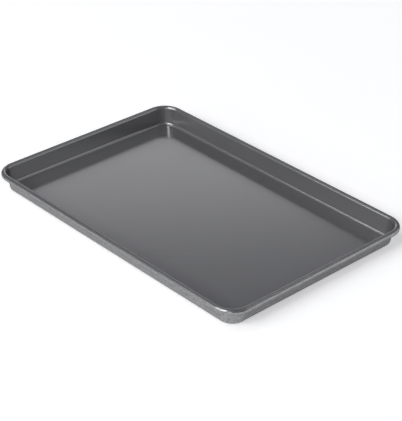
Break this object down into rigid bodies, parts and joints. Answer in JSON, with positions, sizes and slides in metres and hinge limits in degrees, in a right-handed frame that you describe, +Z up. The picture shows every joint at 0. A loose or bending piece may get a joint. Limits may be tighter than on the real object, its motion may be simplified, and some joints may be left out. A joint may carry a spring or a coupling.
{
  "type": "cookie sheet",
  "caption": "Shallow rectangular baking tray of dark grey coated steel, with low sloping walls, rounded corners and a rim rolled round a stiffening wire.",
  "frame": {"origin": "middle of the underside, on the surface that the tray rests on", "axes": "+X along the length, +Y along the width, +Z up, out of the open top"},
  "size_m": [0.4382, 0.2922, 0.0254],
  "materials": {
    "non_stick_coating": "dark grey metallic non-stick coating, semi-gloss",
    "plain_steel_wire": "bare drawn steel wire, hidden inside the rim"
  },
  "bodies": {
    "root": {"pan_shell": "non_stick_coating", "rim_wire": "plain_steel_wire"}
  },
  "joints": []
}
